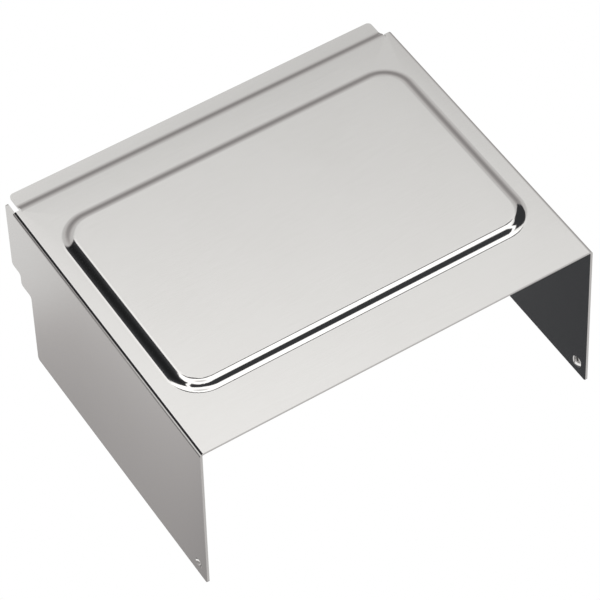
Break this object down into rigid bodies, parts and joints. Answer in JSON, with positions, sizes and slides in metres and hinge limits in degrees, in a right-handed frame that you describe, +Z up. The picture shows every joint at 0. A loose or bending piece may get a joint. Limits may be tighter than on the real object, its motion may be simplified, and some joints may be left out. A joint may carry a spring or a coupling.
{
  "type": "toilet paper holder",
  "caption": "Wall-mounted toilet paper holder: a polished steel hood with a raised panel hinges over a spring-loaded roller.",
  "frame": {"origin": "centre of the four wall-screw holes, on the wall's plane", "axes": "+X to the right as one faces the holder, +Y into the wall, +Z up"},
  "size_m": [0.1422, 0.1225, 0.0667],
  "materials": {
    "hood": "polished stainless sheet",
    "hood_lug_left": "satin stainless",
    "hood_lug_right": "satin stainless",
    "wall_bracket": "satin stainless sheet",
    "hinge_rod": "drawn stainless rod",
    "rod_clip_left": "dark spring steel",
    "rod_clip_right": "dark spring steel",
    "hinge_washer_left": "natural nylon",
    "hinge_washer_right": "natural nylon",
    "bumper_left": "soft black rubber",
    "bumper_right": "soft black rubber",
    "pin_bush_left": "natural nylon",
    "pin_bush_right": "natural nylon",
    "roller_outer": "chrome-plated tube",
    "roller_inner": "chrome-plated tube",
    "roller_cap_left": "moulded grey plastic",
    "roller_cap_right": "moulded grey plastic",
    "roller_spring": "spring wire"
  },
  "bodies": {
    "bracket": {"wall_bracket": "wall_bracket", "hinge_rod": "hinge_rod", "rod_clip_left": "rod_clip_left", "rod_clip_right": "rod_clip_right", "hinge_washer_left": "hinge_washer_left", "hinge_washer_right": "hinge_washer_right", "bumper_left": "bumper_left", "bumper_right": "bumper_right", "pin_bush_left": "pin_bush_left", "pin_bush_right": "pin_bush_right"},
    "hood": {"hood": "hood", "hood_lug_left": "hood_lug_left", "hood_lug_right": "hood_lug_right"},
    "roller": {"roller_outer": "roller_outer", "roller_cap_left": "roller_cap_left", "roller_spring": "roller_spring"},
    "roller_end": {"roller_inner": "roller_inner", "roller_cap_right": "roller_cap_right"}
  },
  "joints": [
    {"name": "hood_lift", "type": "hinge", "parent": "bracket", "child": "hood", "pos_m": [0, -0.013, 0.035], "axis": [-1, 0, 0], "range_deg": [0, 90]},
    {"name": "roller_spin", "type": "hinge", "parent": "bracket", "child": "roller", "pos_m": [0, -0.058, -0.011], "axis": [1, 0, 0], "continuous": true},
    {"name": "roller_push", "type": "slide", "parent": "roller", "child": "roller_end", "axis": [-1, 0, 0], "range_m": [0, 0.008], "stiffness_N_per_m": 400, "springref_m": -0.012, "deforming": ["roller_spring"]}
  ]
}
